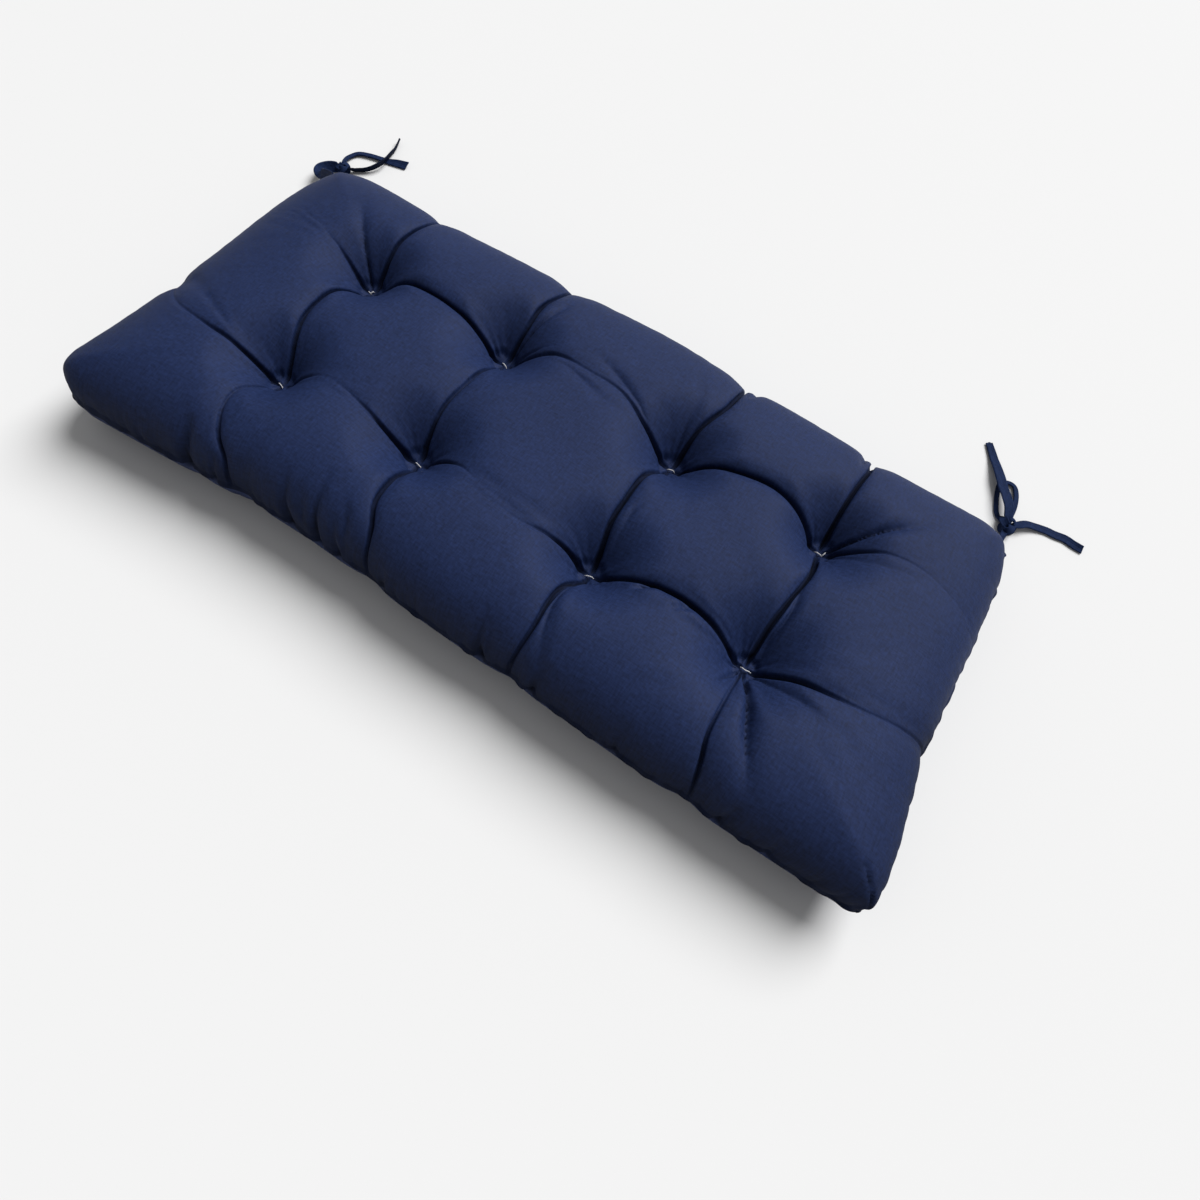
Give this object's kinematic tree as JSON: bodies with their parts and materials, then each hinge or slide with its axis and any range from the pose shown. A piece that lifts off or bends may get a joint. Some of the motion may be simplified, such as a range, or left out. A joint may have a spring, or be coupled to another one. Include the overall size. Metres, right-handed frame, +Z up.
{
  "type": "bench cushion",
  "caption": "Rectangular tufted bench cushion of plain navy outdoor cloth, with crowned lobes, an edge seam and a knotted cloth tie at each back corner.",
  "frame": {"origin": "middle of the cushion's base, on the surface that it lies on, without the ties", "axes": "+X along the length, +Y towards the back edge with the ties, +Z up through the tufted side"},
  "size_m": [1.1909, 0.6743, 0.127],
  "materials": {
    "navy_cloth": "plain woven outdoor polyester with a soft satin sheen",
    "tie_cloth": "the same cloth, folded and edge stitched",
    "thread": "pale grey tufting thread"
  },
  "bodies": {
    "root": {"cushion": "navy_cloth", "stitch_back_1": "thread", "stitch_back_2": "thread", "stitch_back_3": "thread", "stitch_back_4": "thread", "stitch_front_1": "thread", "stitch_front_2": "thread", "stitch_front_3": "thread", "stitch_front_4": "thread", "tie_left_knot": "tie_cloth", "tie_left_strap": "tie_cloth", "tie_left_tail_under": "tie_cloth", "tie_left_tail_over": "tie_cloth", "tie_right_knot": "tie_cloth", "tie_right_strap": "tie_cloth", "tie_right_loop": "tie_cloth", "tie_right_tail_back": "tie_cloth", "tie_right_tail_side": "tie_cloth"}
  },
  "joints": []
}
